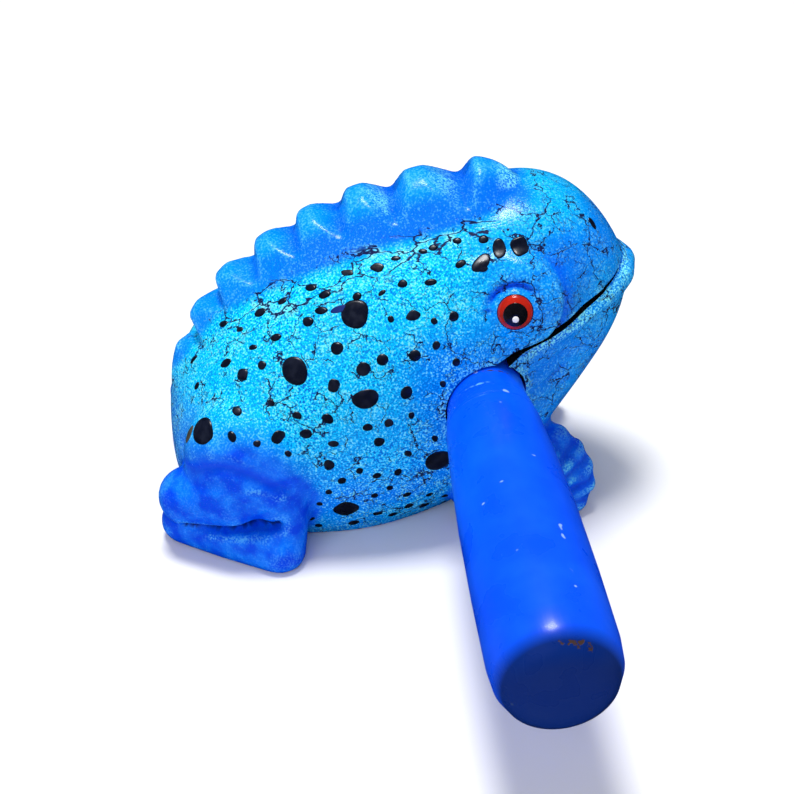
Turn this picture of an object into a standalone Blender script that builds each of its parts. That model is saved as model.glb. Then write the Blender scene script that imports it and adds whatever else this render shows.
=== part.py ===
"""Frog rasp: one carved wooden frog with a notched back, bored from side to side behind
the mouth, and the turned wooden striker that is kept in the bore.

The frog faces +X and stands on Z = 0, with its plane of symmetry at Y = 0. The origin is
the middle of the flat that is cut under its belly. Every size below is in millimetres.
"""

import math

import bmesh
import bpy
from mathutils import Matrix, Vector

MM = 0.001

# Driving dimensions.
VOXEL = 0.9

# Trunk and head, one row for each station along X, from the rump to the chin:
# (x, underside, height of the widest point, back, half width, squareness).
TRUNK = [
    (-43.4, 9.0, 16.0, 23.0, 6.0, 2.0),
    (-42.0, 4.5, 17.0, 28.5, 12.0, 2.0),
    (-39.0, 0.5, 18.0, 35.0, 17.5, 2.0),
    (-34.0, -4.0, 20.0, 42.0, 22.5, 2.0),
    (-26.0, -9.0, 22.0, 50.0, 26.0, 2.0),
    (-16.0, -12.0, 24.0, 56.5, 28.0, 2.0),
    (-4.0, -12.5, 26.0, 62.5, 28.5, 2.0),
    (8.0, -6.5, 28.0, 65.5, 27.5, 2.05),
    (18.0, -3.0, 31.0, 67.2, 25.3, 2.15),
    (26.0, 2.0, 37.0, 68.6, 22.0, 2.3),
    (32.0, 9.0, 41.0, 69.2, 19.6, 2.4),
    (38.0, 18.0, 43.5, 67.6, 17.4, 2.45),
    (43.0, 25.5, 45.5, 64.3, 15.0, 2.4),
    (47.5, 32.3, 46.5, 59.0, 12.0, 2.3),
    (50.3, 37.8, 46.6, 54.0, 8.2, 2.1),
    (51.9, 42.6, 46.6, 50.0, 4.2, 2.0),
]
TRUNK_SIDES = 24

# Tips of the eight teeth of the rasp, from the tail to the head, with the half width of
# the ridge that carries each: (x, z, half width).
TEETH = [
    (-41.9, 34.6, 4.0),
    (-36.9, 44.4, 6.0),
    (-31.0, 52.6, 8.0),
    (-22.0, 59.3, 10.0),
    (-13.3, 64.6, 11.5),
    (-3.3, 68.8, 12.0),
    (8.7, 71.6, 12.0),
    (23.3, 75.3, 10.5),
]
RIDGE_START = (-43.2, 24.0, 2.5)
RIDGE_END = (32.5, 67.0, 7.0)

# Half of the ridge's section: (out from the middle, down from the tip), in half widths.
RIDGE_SECTION = [
    (0.0, 0.0),
    (0.22, 0.02),
    (0.42, 0.13),
    (0.60, 0.34),
    (0.78, 0.57),
    (0.95, 0.79),
    (1.08, 1.15),
    (0.80, 1.80),
]

# A notch's outline along the line of the tips, in parts of the way from tip to tip: (along,
# out). Its root falls to both sides, and it ends a little beyond the ridge's side.
NOTCH = [(0.14, 0.0), (0.56, -0.37), (0.86, 0.0), (1.1, 0.8), (-0.1, 0.8)]
NOTCH_FALL = 0.22
NOTCH_REACH = 1.25

# Rounded masses: (centre, semi-axes, pitch in degrees). Those with Y not zero are paired.
EYE_MOUND = ((27.5, -11.0, 48.5), (14.5, 12.0, 12.8), -24.0)
EYEBALL = ((25.7, -16.4, 49.2), (6.4, 5.6, 6.2), 0.0)
THIGH = ((-25.0, -19.0, 20.5), (15.5, 11.0, 15.0), 20.0)
SHOULDER = ((18.5, -17.5, 18.0), (8.0, 7.5, 12.0), 10.0)
HAND = ((33.0, -17.0, 7.4), (9.0, 6.0, 8.2), -16.0)

# Limbs, each a chain of (x, y, z, radius). The hand-carved left hind leg sits further forward.
LEFT_HIND_FORWARD = 1.8
LOWER_LIP = [
    (24.0, -17.2, 36.8, 2.6),
    (31.0, -17.0, 40.3, 2.8),
    (39.0, -14.6, 43.9, 2.9),
    (46.0, -10.2, 47.0, 2.9),
    (50.0, -5.2, 48.5, 3.0),
    (51.2, 0.0, 49.0, 3.1),
]
SHANK = [(-40.2, -19.2, 11.4, 6.2), (-31.0, -23.8, 14.0, 6.4), (-22.5, -25.6, 16.6, 4.4)]
FOOT = [(-41.6, -16.9, 3.6, 5.0), (-32.0, -22.2, 3.0, 5.4), (-22.4, -28.0, 3.0, 5.4)]
INSTEP = [(-21.8, -27.0, 4.0, 5.0), (-21.0, -24.5, 13.0, 5.4)]
FOREARM = [(19.5, -20.0, 7.0, 5.6), (25.0, -19.5, 6.0, 5.8), (33.0, -17.5, 8.0, 6.0)]
TOES = [
    [(30.0, -14.5, 11.0, 3.4), (36.4, -13.8, 15.0, 3.2)],
    [(31.0, -15.0, 9.0, 3.4), (39.4, -15.0, 12.4, 3.2)],
    [(32.0, -16.5, 7.0, 3.4), (41.1, -16.6, 9.2, 3.2)],
    [(32.0, -18.0, 5.0, 3.4), (41.4, -18.0, 6.0, 3.2)],
    [(32.0, -19.5, 3.0, 3.4), (39.6, -19.4, 3.2, 3.2)],
]

# Bore through the mouth corners, and the saw cut of the mouth that runs into it and
# narrows to the front: (x, z, height of the cut).
BORE_X, BORE_Z, BORE_RADIUS = 20.2, 31.8, 8.5
BORE_SIDES = 40
MOUTH = [(22.0, 39.0, 2.1), (58.0, 55.3, 0.7)]

# The bore and the saw cut go right through, past both sides.
CUT_REACH = 60.0

# Striker: distance from the plane of symmetry, negative on the handle's side, and radius.
STRIKER = [
    (-105.1, 4.8),
    (-104.5, 7.6),
    (-103.0, 9.5),
    (-100.2, 10.7),
    (-95.8, 11.1),
    (-80.0, 11.1),
    (-62.0, 10.8),
    (-46.0, 10.1),
    (-33.8, 9.3),
    (-33.2, 8.95),
    (-29.8, 8.75),
    (-29.2, 8.35),
    (-25.0, 8.1),
    (0.0, 7.3),
    (20.0, 6.6),
    (26.3, 5.9),
    (27.5, 4.9),
]
STRIKER_STEPS = 40


def clear_scene():
    for obj in list(bpy.data.objects):
        bpy.data.objects.remove(obj)


def new_collection(name):
    collection = bpy.data.collections.new(name)
    bpy.context.scene.collection.children.link(collection)
    return collection


def move_to(obj, collection):
    for holder in list(obj.users_collection):
        holder.objects.unlink(obj)
    collection.objects.link(obj)


def paint(name, colour, roughness):
    material = bpy.data.materials.new(name)
    material.use_nodes = True
    shader = material.node_tree.nodes["Principled BSDF"]
    shader.inputs["Base Color"].default_value = (*colour, 1.0)
    shader.inputs["Roughness"].default_value = roughness
    shader.inputs["Metallic"].default_value = 0.0
    return material


def add_mesh(name, mesh):
    obj = bpy.data.objects.new(name, mesh)
    bpy.context.scene.collection.objects.link(obj)
    return obj


def mesh_of(obj):
    """A new object with the evaluated mesh of obj, its loose caps welded, in place of obj."""
    graph = bpy.context.evaluated_depsgraph_get()
    mesh = bpy.data.meshes.new_from_object(obj.evaluated_get(graph))
    shape = bmesh.new()
    shape.from_mesh(mesh)
    bmesh.ops.remove_doubles(shape, verts=shape.verts, dist=1e-6)
    bmesh.ops.recalc_face_normals(shape, faces=shape.faces)
    shape.to_mesh(mesh)
    shape.free()
    solid = add_mesh(obj.name + "_mesh", mesh)
    solid.matrix_world = obj.matrix_world
    bpy.data.objects.remove(obj)
    return solid


def rounded(value, squareness):
    """A cosine or sine bent towards a rounded square as squareness goes above 2."""
    return math.copysign(abs(value) ** (2 / squareness), value)


def loft(name, rings, levels):
    """A closed skin over rings of as many points each, subdivided levels times."""
    shape = bmesh.new()
    loops = [[shape.verts.new(point * MM) for point in ring] for ring in rings]
    for loop, following in zip(loops, loops[1:]):
        for side in range(len(loop)):
            after = (side + 1) % len(loop)
            shape.faces.new((loop[side], loop[after], following[after], following[side]))
    shape.faces.new(reversed(loops[0]))
    shape.faces.new(loops[-1])
    bmesh.ops.recalc_face_normals(shape, faces=shape.faces)
    mesh = bpy.data.meshes.new(name)
    shape.to_mesh(mesh)
    shape.free()
    skin = add_mesh(name, mesh)
    if levels:
        smooth = skin.modifiers.new("rounding", "SUBSURF")
        smooth.levels = smooth.render_levels = levels
    return mesh_of(skin)


def trunk_rings():
    """Egg-shaped rings, two half ellipses each."""
    rings = []
    for x, under, widest, back, half_width, squareness in TRUNK:
        ring = []
        for side in range(TRUNK_SIDES):
            angle = math.tau * side / TRUNK_SIDES
            across = rounded(math.cos(angle), squareness)
            up = rounded(math.sin(angle), squareness)
            z = widest + up * (back - widest if up > 0 else widest - under)
            ring.append(Vector((x, half_width * across, z)))
        rings.append(ring)
    return rings


def ridge_rings():
    """The ridge's section at each tip, square to the line of the tips."""
    tips = [RIDGE_START, *TEETH, RIDGE_END]
    section = RIDGE_SECTION + [(-across, down) for across, down in reversed(RIDGE_SECTION[1:])]
    rings = []
    for index, (x, z, half_width) in enumerate(tips):
        before = tips[max(index - 1, 0)]
        after = tips[min(index + 1, len(tips) - 1)]
        slope = math.atan2(after[1] - before[1], after[0] - before[0])
        out = Vector((-math.sin(slope), 0.0, math.cos(slope)))
        side = Vector((0.0, -1.0, 0.0))
        tip = Vector((x, 0.0, z))
        rings.append([tip + (side * a - out * d) * half_width for a, d in section])
    return rings


def ball(name, centre, semi_axes, pitch):
    bpy.ops.mesh.primitive_uv_sphere_add(segments=32, ring_count=20, radius=1.0)
    mass = bpy.context.object
    mass.name = name
    place = Matrix.Translation(Vector(centre) * MM) @ Matrix.Rotation(math.radians(pitch), 4, "Y")
    mass.data.transform(place @ Matrix.Diagonal((*[s * MM for s in semi_axes], 1.0)))
    return mass


def limb(name, chain):
    """A tapered round limb: a curve with a radius at each point, and a ball on each end."""
    curve = bpy.data.curves.new(name, "CURVE")
    curve.dimensions = "3D"
    curve.bevel_depth = MM
    curve.bevel_resolution = 6
    curve.use_fill_caps = True
    spline = curve.splines.new("BEZIER")
    spline.bezier_points.add(len(chain) - 1)
    for point, (x, y, z, radius) in zip(spline.bezier_points, chain):
        point.co = Vector((x, y, z)) * MM
        point.radius = radius
        point.handle_left_type = point.handle_right_type = "AUTO"
    pieces = [mesh_of(add_mesh(name, curve))]
    for x, y, z, radius in (chain[0], chain[-1]):
        pieces.append(ball(name + "_end", (x, y, z), (radius, radius, radius), 0.0))
    return pieces


def notch(name, tip, following):
    """A wedge across the ridge between two tips."""
    (x0, z0, width0), (x1, z1, width1) = tip, following
    run = Vector((x1 - x0, 0.0, z1 - z0))
    out = Vector((-run.z, 0.0, run.x))
    reach = NOTCH_REACH * max(width0, width1)
    rings = []
    for y in (-reach, 0.0, reach):
        root = Vector((x0, y, z0)) - out.normalized() * NOTCH_FALL * abs(y)
        rings.append([root + run * along + out * high for along, high in NOTCH])
    return loft(name, rings, 0)


def mirrored(obj, forward):
    """A copy of obj on the frog's left side, moved forward."""
    mesh = obj.data.copy()
    mesh.transform(Matrix.Translation((forward * MM, 0.0, 0.0)) @ Matrix.Diagonal((1.0, -1.0, 1.0, 1.0)))
    mesh.flip_normals()
    return add_mesh(obj.name + "_left", mesh)


def joined(name, pieces):
    mesh = bpy.data.meshes.new(name)
    shape = bmesh.new()
    for piece in pieces:
        copy = piece.data.copy()
        copy.transform(piece.matrix_world)
        shape.from_mesh(copy)
        bpy.data.meshes.remove(copy)
    shape.to_mesh(mesh)
    shape.free()
    for piece in pieces:
        bpy.data.objects.remove(piece)
    return add_mesh(name, mesh)


def cut(obj, cutter, cutters):
    boolean = obj.modifiers.new(cutter.name, "BOOLEAN")
    boolean.operation = "DIFFERENCE"
    boolean.object = cutter
    cutter.hide_render = True
    cutter.display_type = "WIRE"
    move_to(cutter, cutters)


def drill(name, radius, x, z):
    """A round bar across the frog, longer than the frog is wide."""
    bpy.ops.mesh.primitive_cylinder_add(vertices=BORE_SIDES, radius=radius * MM, depth=2 * CUT_REACH * MM)
    bar = bpy.context.object
    bar.name = name
    bar.data.transform(
        Matrix.Translation((x * MM, 0.0, z * MM)) @ Matrix.Rotation(math.radians(90), 4, "X")
    )
    return bar


def saw_cut():
    """A slab from in front of the lips to the bore, thinner at the front."""
    rings = []
    for y in (-CUT_REACH, CUT_REACH):
        lower = [Vector((x, y, z - height / 2)) for x, z, height in MOUTH]
        upper = [Vector((x, y, z + height / 2)) for x, z, height in reversed(MOUTH)]
        rings.append(lower + upper)
    return loft("mouth_saw_cut", rings, 0)


def ground():
    """A block whose top is the flat that the frog stands on."""
    bpy.ops.mesh.primitive_cube_add(size=0.2, location=(0.0, 0.0, -0.1))
    block = bpy.context.object
    block.name = "flat_under_belly"
    block.data.transform(block.matrix_world)
    block.matrix_world = Matrix.Identity(4)
    return block


def build_frog(part, cutters):
    middle = [loft("trunk", trunk_rings(), 2), loft("ridge", ridge_rings(), 2)]
    hind = [ball("thigh", *THIGH)]
    hind += limb("shank", SHANK) + limb("foot", FOOT) + limb("instep", INSTEP)
    fore = [ball("eye_mound", *EYE_MOUND), ball("eyeball", *EYEBALL)] + limb("lower_lip", LOWER_LIP)
    fore += [ball("shoulder", *SHOULDER), ball("hand", *HAND)] + limb("forearm", FOREARM)
    for number, chain in enumerate(TOES):
        fore += limb(f"toe_{number}", chain)
    left = [mirrored(piece, LEFT_HIND_FORWARD) for piece in hind]
    left += [mirrored(piece, 0.0) for piece in fore]
    block = joined("block", middle + hind + fore + left)
    fuse = block.modifiers.new("fuse", "REMESH")
    fuse.mode = "VOXEL"
    fuse.voxel_size = VOXEL * MM
    for number, (tip, following) in enumerate(zip(TEETH, TEETH[1:])):
        cut(block, notch(f"notch_{number}", tip, following), cutters)
    worn = block.modifiers.new("worn", "REMESH")
    worn.mode = "VOXEL"
    worn.voxel_size = VOXEL * MM
    soft = block.modifiers.new("soft", "SMOOTH")
    soft.factor = 0.5
    soft.iterations = 6
    thin = block.modifiers.new("thin", "DECIMATE")
    thin.ratio = 0.09
    cut(block, ground(), cutters)
    cut(block, drill("bore", BORE_RADIUS, BORE_X, BORE_Z), cutters)
    cut(block, saw_cut(), cutters)
    frog = mesh_of(block)
    frog.name = frog.data.name = "frog_body"
    move_to(frog, part)
    return frog


def build_striker(part):
    """The striker, turned about its own axis, which lies in the bore at rest."""
    profile = bpy.data.meshes.new("striker")
    shape = bmesh.new()
    axis_ends = [(STRIKER[0][0], 0.0), *STRIKER, (STRIKER[-1][0], 0.0)]
    points = [shape.verts.new((radius * MM, 0.0, -along * MM)) for along, radius in axis_ends]
    for point, following in zip(points, points[1:]):
        shape.edges.new((point, following))
    shape.to_mesh(profile)
    shape.free()
    striker = bpy.data.objects.new("striker", profile)
    part.objects.link(striker)
    turning = striker.modifiers.new("turning", "SCREW")
    turning.axis = "Z"
    turning.steps = turning.render_steps = STRIKER_STEPS
    turning.use_merge_vertices = True
    turning.merge_threshold = 0.00001
    turning.use_smooth_shade = True
    striker.location = (BORE_X * MM, 0.0, BORE_Z * MM)
    striker.rotation_euler = (math.radians(90), 0.0, 0.0)
    return striker


def main():
    clear_scene()
    part = new_collection("frog_rasp")
    cutters = new_collection("cutters")
    frog = build_frog(part, cutters)
    frog.data.materials.append(paint("body_paint", (0.0, 0.32, 0.9), 0.3))
    striker = build_striker(part)
    striker.data.materials.append(paint("striker_paint", (0.0, 0.12, 0.85), 0.3))


if __name__ == "__main__":
    main()
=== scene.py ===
"""Frog rasp: the finished look of a carved and painted wooden frog and of its turned striker.

The frog faces +X and stands on Z = 0. Lengths in the tables below are in millimetres.
"""

import math
import random

import bmesh
import bpy
import numpy as np
from mathutils import Matrix, Vector
from mathutils.bvhtree import BVHTree


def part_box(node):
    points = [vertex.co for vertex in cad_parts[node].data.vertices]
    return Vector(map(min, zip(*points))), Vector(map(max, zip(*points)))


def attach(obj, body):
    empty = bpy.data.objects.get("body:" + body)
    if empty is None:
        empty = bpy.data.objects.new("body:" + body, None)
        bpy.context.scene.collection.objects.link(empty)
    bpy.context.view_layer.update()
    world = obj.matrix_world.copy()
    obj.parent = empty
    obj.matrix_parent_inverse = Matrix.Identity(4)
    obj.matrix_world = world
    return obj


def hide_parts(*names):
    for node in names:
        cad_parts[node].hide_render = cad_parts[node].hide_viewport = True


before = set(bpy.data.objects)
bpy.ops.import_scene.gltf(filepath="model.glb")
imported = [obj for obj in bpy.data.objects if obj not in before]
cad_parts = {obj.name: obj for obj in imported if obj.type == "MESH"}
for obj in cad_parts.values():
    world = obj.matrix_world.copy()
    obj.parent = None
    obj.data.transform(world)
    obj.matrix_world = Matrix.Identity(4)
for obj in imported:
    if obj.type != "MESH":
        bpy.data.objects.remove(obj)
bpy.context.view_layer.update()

bl_info = {
    "name": "Frog Rasp",
    "version": (1, 0, 0),
    "blender": (4, 5, 0),
    "location": "View3D > Sidebar > Frog Rasp",
    "description": "Builds a carved wooden frog rasp with its striker, and a stage for it",
    "category": "Object",
}

MM = 0.001
BODY, STRIKER_BODY = "frog", "striker"
STRIKER_LOW, STRIKER_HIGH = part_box("striker")

# ---------------------------------------------------------------- the carving's masses

# Trunk and head, one row for each ring along X, from the rump to the chin:
# (x, underside, height of the widest point, back, half width, squareness).
TRUNK = [
    (-43.4, 9.0, 16.0, 23.0, 6.0, 2.0),
    (-42.0, 4.5, 17.0, 28.5, 12.0, 2.0),
    (-39.0, 0.5, 18.0, 35.0, 17.5, 2.0),
    (-34.0, -4.0, 20.0, 42.0, 22.5, 2.0),
    (-26.0, -9.0, 22.0, 50.0, 26.0, 2.0),
    (-16.0, -12.0, 24.0, 56.5, 28.0, 2.0),
    (-4.0, -12.5, 26.0, 62.5, 28.5, 2.0),
    (8.0, -6.5, 28.0, 65.5, 27.5, 2.05),
    (18.0, -3.0, 31.0, 67.2, 25.3, 2.15),
    (26.0, 2.0, 37.0, 68.6, 22.0, 2.3),
    (32.0, 9.0, 41.0, 69.2, 19.6, 2.4),
    (38.0, 18.0, 43.5, 67.6, 17.4, 2.45),
    (43.0, 25.5, 45.5, 64.3, 15.0, 2.4),
    (47.5, 32.3, 46.5, 59.0, 12.0, 2.3),
    (50.3, 37.8, 46.6, 54.0, 8.2, 2.1),
    (51.9, 42.6, 46.6, 50.0, 4.2, 2.0),
]
TRUNK_SIDES = 24

# Tips of the rasp's teeth from tail to head, and the half width of the ridge under each.
TEETH = [
    (-41.9, 34.6, 4.0),
    (-36.9, 44.4, 6.0),
    (-31.0, 52.6, 8.0),
    (-22.0, 59.3, 10.0),
    (-13.3, 64.6, 11.5),
    (-3.3, 68.8, 12.0),
    (8.7, 71.6, 12.0),
    (23.3, 75.3, 10.5),
]
RIDGE_START = (-43.2, 24.0, 2.5)
RIDGE_END = (32.5, 67.0, 7.0)

# Half of the ridge's section: (out from the middle, down from the tip), in half widths.
RIDGE_SECTION = [
    (0.0, 0.0),
    (0.22, 0.02),
    (0.42, 0.13),
    (0.60, 0.34),
    (0.78, 0.57),
    (0.95, 0.79),
    (1.08, 1.15),
    (0.80, 1.80),
]

# A notch's outline along the line of the tips, in parts of the way from tip to tip: (along,
# out). Its root falls to both sides, and it ends a little beyond the ridge's side.
NOTCH = [(0.14, 0.0), (0.56, -0.37), (0.86, 0.0), (1.1, 0.8), (-0.1, 0.8)]
NOTCH_FALL = 0.22
NOTCH_REACH = 1.25

# Foot of the ridge, where it meets the back: (x, z).
RIDGE_FOOT = [(-42, 30), (-32, 44.5), (-22, 51), (-12, 55.5), (0, 60), (12, 62.7), (24, 65.6), (31, 67)]

# Rounded masses: (centre, semi-axes, pitch in degrees).
EYE_MOUND = ((27.5, -11.0, 48.5), (14.5, 12.0, 12.8), -24.0)
EYEBALL = ((25.7, -16.4, 49.2), (6.4, 5.6, 6.2), 0.0)
THIGH = ((-25.0, -19.0, 20.5), (15.5, 11.0, 15.0), 20.0)
SHOULDER = ((18.5, -17.5, 18.0), (8.0, 7.5, 12.0), 10.0)
HAND = ((33.0, -17.0, 7.4), (9.0, 6.0, 8.2), -16.0)

# Limbs as chains of (x, y, z, radius). The left hind leg was carved further forward.
LEFT_HIND_FORWARD = 1.8
LOWER_LIP = [
    (24.0, -17.2, 36.8, 2.6),
    (31.0, -17.0, 40.3, 2.8),
    (39.0, -14.6, 43.9, 2.9),
    (46.0, -10.2, 47.0, 2.9),
    (50.0, -5.2, 48.5, 3.0),
    (51.2, 0.0, 49.0, 3.1),
]
SHANK = [(-40.2, -19.2, 11.4, 6.2), (-31.0, -23.8, 14.0, 6.4), (-22.5, -25.6, 16.6, 4.4)]
FOOT = [(-41.6, -16.9, 3.6, 5.0), (-32.0, -22.2, 3.0, 5.4), (-22.4, -28.0, 3.0, 5.4)]
INSTEP = [(-21.8, -27.0, 4.0, 5.0), (-21.0, -24.5, 13.0, 5.4)]
FOREARM = [(19.5, -20.0, 7.0, 5.6), (25.0, -19.5, 6.0, 5.8), (33.0, -17.5, 8.0, 6.0)]
TOES = [
    [(30.0, -14.5, 11.0, 3.4), (36.4, -13.8, 15.0, 3.2)],
    [(31.0, -15.0, 9.0, 3.4), (39.4, -15.0, 12.4, 3.2)],
    [(32.0, -16.5, 7.0, 3.4), (41.1, -16.6, 9.2, 3.2)],
    [(32.0, -18.0, 5.0, 3.4), (41.4, -18.0, 6.0, 3.2)],
    [(32.0, -19.5, 3.0, 3.4), (39.6, -19.4, 3.2, 3.2)],
]

# Bore through the mouth corners, and the saw cut that runs into it and narrows to the
# front: (x, z, height of the cut).
BORE_X, BORE_Z, BORE_RADIUS = 20.2, 31.8, 8.5
MOUTH = [(22.0, 39.0, 2.5), (30.0, 42.6, 2.3), (38.0, 46.2, 1.8), (44.0, 49.0, 1.1), (49.0, 51.3, 0.2)]
CUT_REACH = 60.0

# Knife strokes seen from the side: (points (x, z), half width, depth; a negative depth is
# a raised line). Hind strokes follow the left hind leg forward.
HEAD_STROKES = [
    ([(14.6, 57), (14.2, 53.5), (13.4, 47.5)], 0.9, 0.35),
    ([(13.2, 57.5), (12.6, 53.5), (11.8, 47.0)], 1.2, -0.35),
    ([(16.5, 56.5), (20.0, 58.6), (25.0, 59.4), (30.0, 58.2)], 1.5, -0.6),
    ([(17.0, 60.4), (21.0, 60.9), (27.0, 61.6), (33.0, 61.0)], 1.0, 0.30),
    ([(27.0, 37.4), (31.0, 39.6), (36.0, 42.2), (41.0, 44.8), (46.0, 46.8)], 1.0, -0.4),
    ([(46.0, 49.9), (52.0, 52.6), (58.0, 55.4)], 0.7, 0.6),
]
THROAT_FOLDS = [
    ([(46.0, 44.0), (41.5, 41.5), (38.0, 37.0), (35.0, 31.0)], 2.0, 0.7),
    ([(28.0, 34.5), (33.0, 35.8), (37.0, 38.0)], 0.8, 0.7),
    ([(28.5, 30.5), (33.0, 31.5), (37.5, 34.0)], 0.9, 0.75),
    ([(28.0, 26.0), (33.0, 27.5), (37.0, 30.0)], 0.9, 0.75),
]
HIND_STROKES = [
    ([(-39.0, 21.0), (-35.0, 23.6), (-31.0, 24.0), (-26.5, 22.4), (-22.5, 19.4)], 1.5, 0.9),
    ([(-37.0, 17.0), (-31.0, 18.4), (-24.5, 18.6), (-21.5, 17.0)], 1.3, -0.5),
    ([(-33.6, 29.4), (-29.0, 28.0), (-24.0, 23.8), (-20.0, 19.0)], 1.2, 0.45),
    ([(-34.0, 31.0), (-34.8, 25.5)], 0.9, -0.35),
    ([(-36.0, 5.4), (-31.0, 6.2), (-25.0, 7.2)], 1.1, -0.6),
]
# The slit between shank and foot, with painted shade inside.
HIND_SLIT_PATH = [
    ((upper[0] + lower[0]) / 2, (upper[2] - upper[3] + lower[2] + lower[3]) / 2)
    for upper, lower in zip(SHANK, FOOT)
]
HIND_SLIT = [(HIND_SLIT_PATH, 0.9, 2.2)]
TOE_STROKES = [
    ([(34.0, 12.4), (40.4, 15.3)], 0.75, 0.7),
    ([(34.5, 9.4), (42.6, 11.9)], 0.75, 0.8),
    ([(35.0, 6.6), (43.8, 7.8)], 0.75, 0.8),
    ([(35.0, 4.0), (43.4, 4.2)], 0.75, 0.7),
]

# The eye mound stands proud of the snout, in a step this far from the eye's middle.
SHELF_RADIUS, SHELF_DEPTH, SHELF_REACH = 10.0, 1.4, 4.5

# Eye: the place of its middle seen from the side, and how far up it looks.
EYE_X, EYE_Z = 25.7, 51.5
LID_RADIUS, LID_WIDTH, LID_DEPTH = 5.3, 0.7, 1.3

# Turned striker: distance along Y from the plane of symmetry, and radius.
STRIKER_PROFILE = [
    (-105.2, 0.0),
    (-105.1, 4.8),
    (-104.5, 7.6),
    (-103.0, 9.5),
    (-100.2, 10.7),
    (-95.8, 11.1),
    (-80.0, 11.1),
    (-62.0, 10.8),
    (-46.0, 10.1),
    (-33.8, 9.3),
    (-33.2, 8.95),
    (-32.4, 9.0),
    (-29.8, 8.75),
    (-29.2, 8.35),
    (-28.4, 8.35),
    (-25.0, 8.1),
    (0.0, 7.3),
    (20.0, 6.6),
    (26.3, 5.9),
    (27.3, 4.9),
    (27.5, 0.0),
]
STRIKER_TURNS = 96
RINGS_FROM, RINGS_TO, RINGS_STEP = -36.0, -22.0, 0.25

# ---------------------------------------------------------------- enamel spots

# Small spots follow the ridge's foot in rows: (drop below the foot, number).
SPOT_ROWS = [(1.6, 14), (5.0, 12)]
ROW_FROM, ROW_TO = -36.0, 21.0

# Spots strewn over the flank, the big splashes first, clear of haunch, bore and each other.
STREWN_BIG, STREWN_SMALL, STREWN_TRIES = 6, 52, 4000
STREWN_FROM, STREWN_TO = (-40.0, 3.0), (15.0, 52.0)
BIG_GAP, SMALL_GAP, ROW_GAP, BORE_GAP = 12.0, 3.6, 1.5, 2.5
HAUNCH_CLEAR = 2.4

# A few splashes in an arc above the eye: number, reach from its middle, first turn and step.
BROW_SPLASHES, BROW_REACH, BROW_TURN, BROW_STEP = 3, 10.0, 80.0, 22.0

# One spot on the rump is rubbed brown, this far round the haunch from the front.
WORN_TURN, WORN_SIZE = 120.0, (2.0, 1.0)
NAVY_SIZE = (2.0, 0.7)


# ---------------------------------------------------------------- modelling helpers


def deselect():
    if bpy.context.mode != "OBJECT":
        bpy.ops.object.mode_set(mode="OBJECT")
    bpy.ops.object.select_all(action="DESELECT")


def make_active(obj):
    deselect()
    obj.select_set(True)
    bpy.context.view_layer.objects.active = obj


def apply_modifiers(obj):
    make_active(obj)
    for modifier in list(obj.modifiers):
        bpy.ops.object.modifier_apply(modifier=modifier.name)


def rest_in_mesh(obj):
    """Puts an object's place into its mesh."""
    make_active(obj)
    bpy.ops.object.transform_apply(location=True, rotation=True, scale=True)


def ball(name, centre, semi_axes, pitch=0.0):
    deselect()
    bpy.ops.mesh.primitive_uv_sphere_add(
        segments=40,
        ring_count=24,
        radius=1.0,
        location=[c * MM for c in centre],
        rotation=(0.0, math.radians(pitch), 0.0),
        scale=[s * MM for s in semi_axes],
    )
    mass = bpy.context.object
    mass.name = name
    rest_in_mesh(mass)
    return mass


def taper(name, start, start_radius, end, end_radius):
    """A cone frustum from start to end."""
    run = Vector(end) - Vector(start)
    deselect()
    bpy.ops.mesh.primitive_cone_add(
        vertices=32,
        radius1=start_radius * MM,
        radius2=end_radius * MM,
        depth=run.length * MM,
        location=(Vector(start) + Vector(end)) / 2 * MM,
        rotation=run.to_track_quat("Z", "Y").to_euler(),
    )
    mass = bpy.context.object
    mass.name = name
    rest_in_mesh(mass)
    return mass


def limb(name, chain):
    """Round joints with a taper between each two."""
    pieces = [ball(name, point[:3], (point[3],) * 3) for point in chain]
    for a, b in zip(chain, chain[1:]):
        pieces.append(taper(name, a[:3], a[3], b[:3], b[3]))
    return pieces


def rounded(value, squareness):
    """A cosine or sine bent towards a rounded square as squareness goes above 2."""
    return math.copysign(abs(value) ** (2 / squareness), value)


def skin(name, rings):
    """A closed rounded skin over rings."""
    mass = block(name, rings)
    smooth = mass.modifiers.new("rounding", "SUBSURF")
    smooth.levels = smooth.render_levels = 2
    apply_modifiers(mass)
    return mass


def trunk_rings():
    """Egg-shaped rings, two half ellipses each."""
    rings = []
    for x, under, widest, back, half_width, squareness in TRUNK:
        ring = []
        for side in range(TRUNK_SIDES):
            angle = math.tau * side / TRUNK_SIDES
            up, across = rounded(math.sin(angle), squareness), rounded(math.cos(angle), squareness)
            z = widest + up * (back - widest if up > 0 else widest - under)
            ring.append(Vector((x, half_width * across, z)))
        rings.append(ring)
    return rings


def ridge_rings():
    """The ridge's section square to the line of the tips, at each tip."""
    tips = [RIDGE_START, *TEETH, RIDGE_END]
    section = RIDGE_SECTION + [(-across, down) for across, down in reversed(RIDGE_SECTION[1:])]
    rings = []
    for index, (x, z, half_width) in enumerate(tips):
        before, after = tips[max(index - 1, 0)], tips[min(index + 1, len(tips) - 1)]
        slope = math.atan2(after[1] - before[1], after[0] - before[0])
        out = Vector((-math.sin(slope), 0.0, math.cos(slope)))
        tip, side = Vector((x, 0.0, z)), Vector((0.0, -1.0, 0.0))
        rings.append([tip + (side * a - out * d) * half_width for a, d in section])
    return rings


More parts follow.
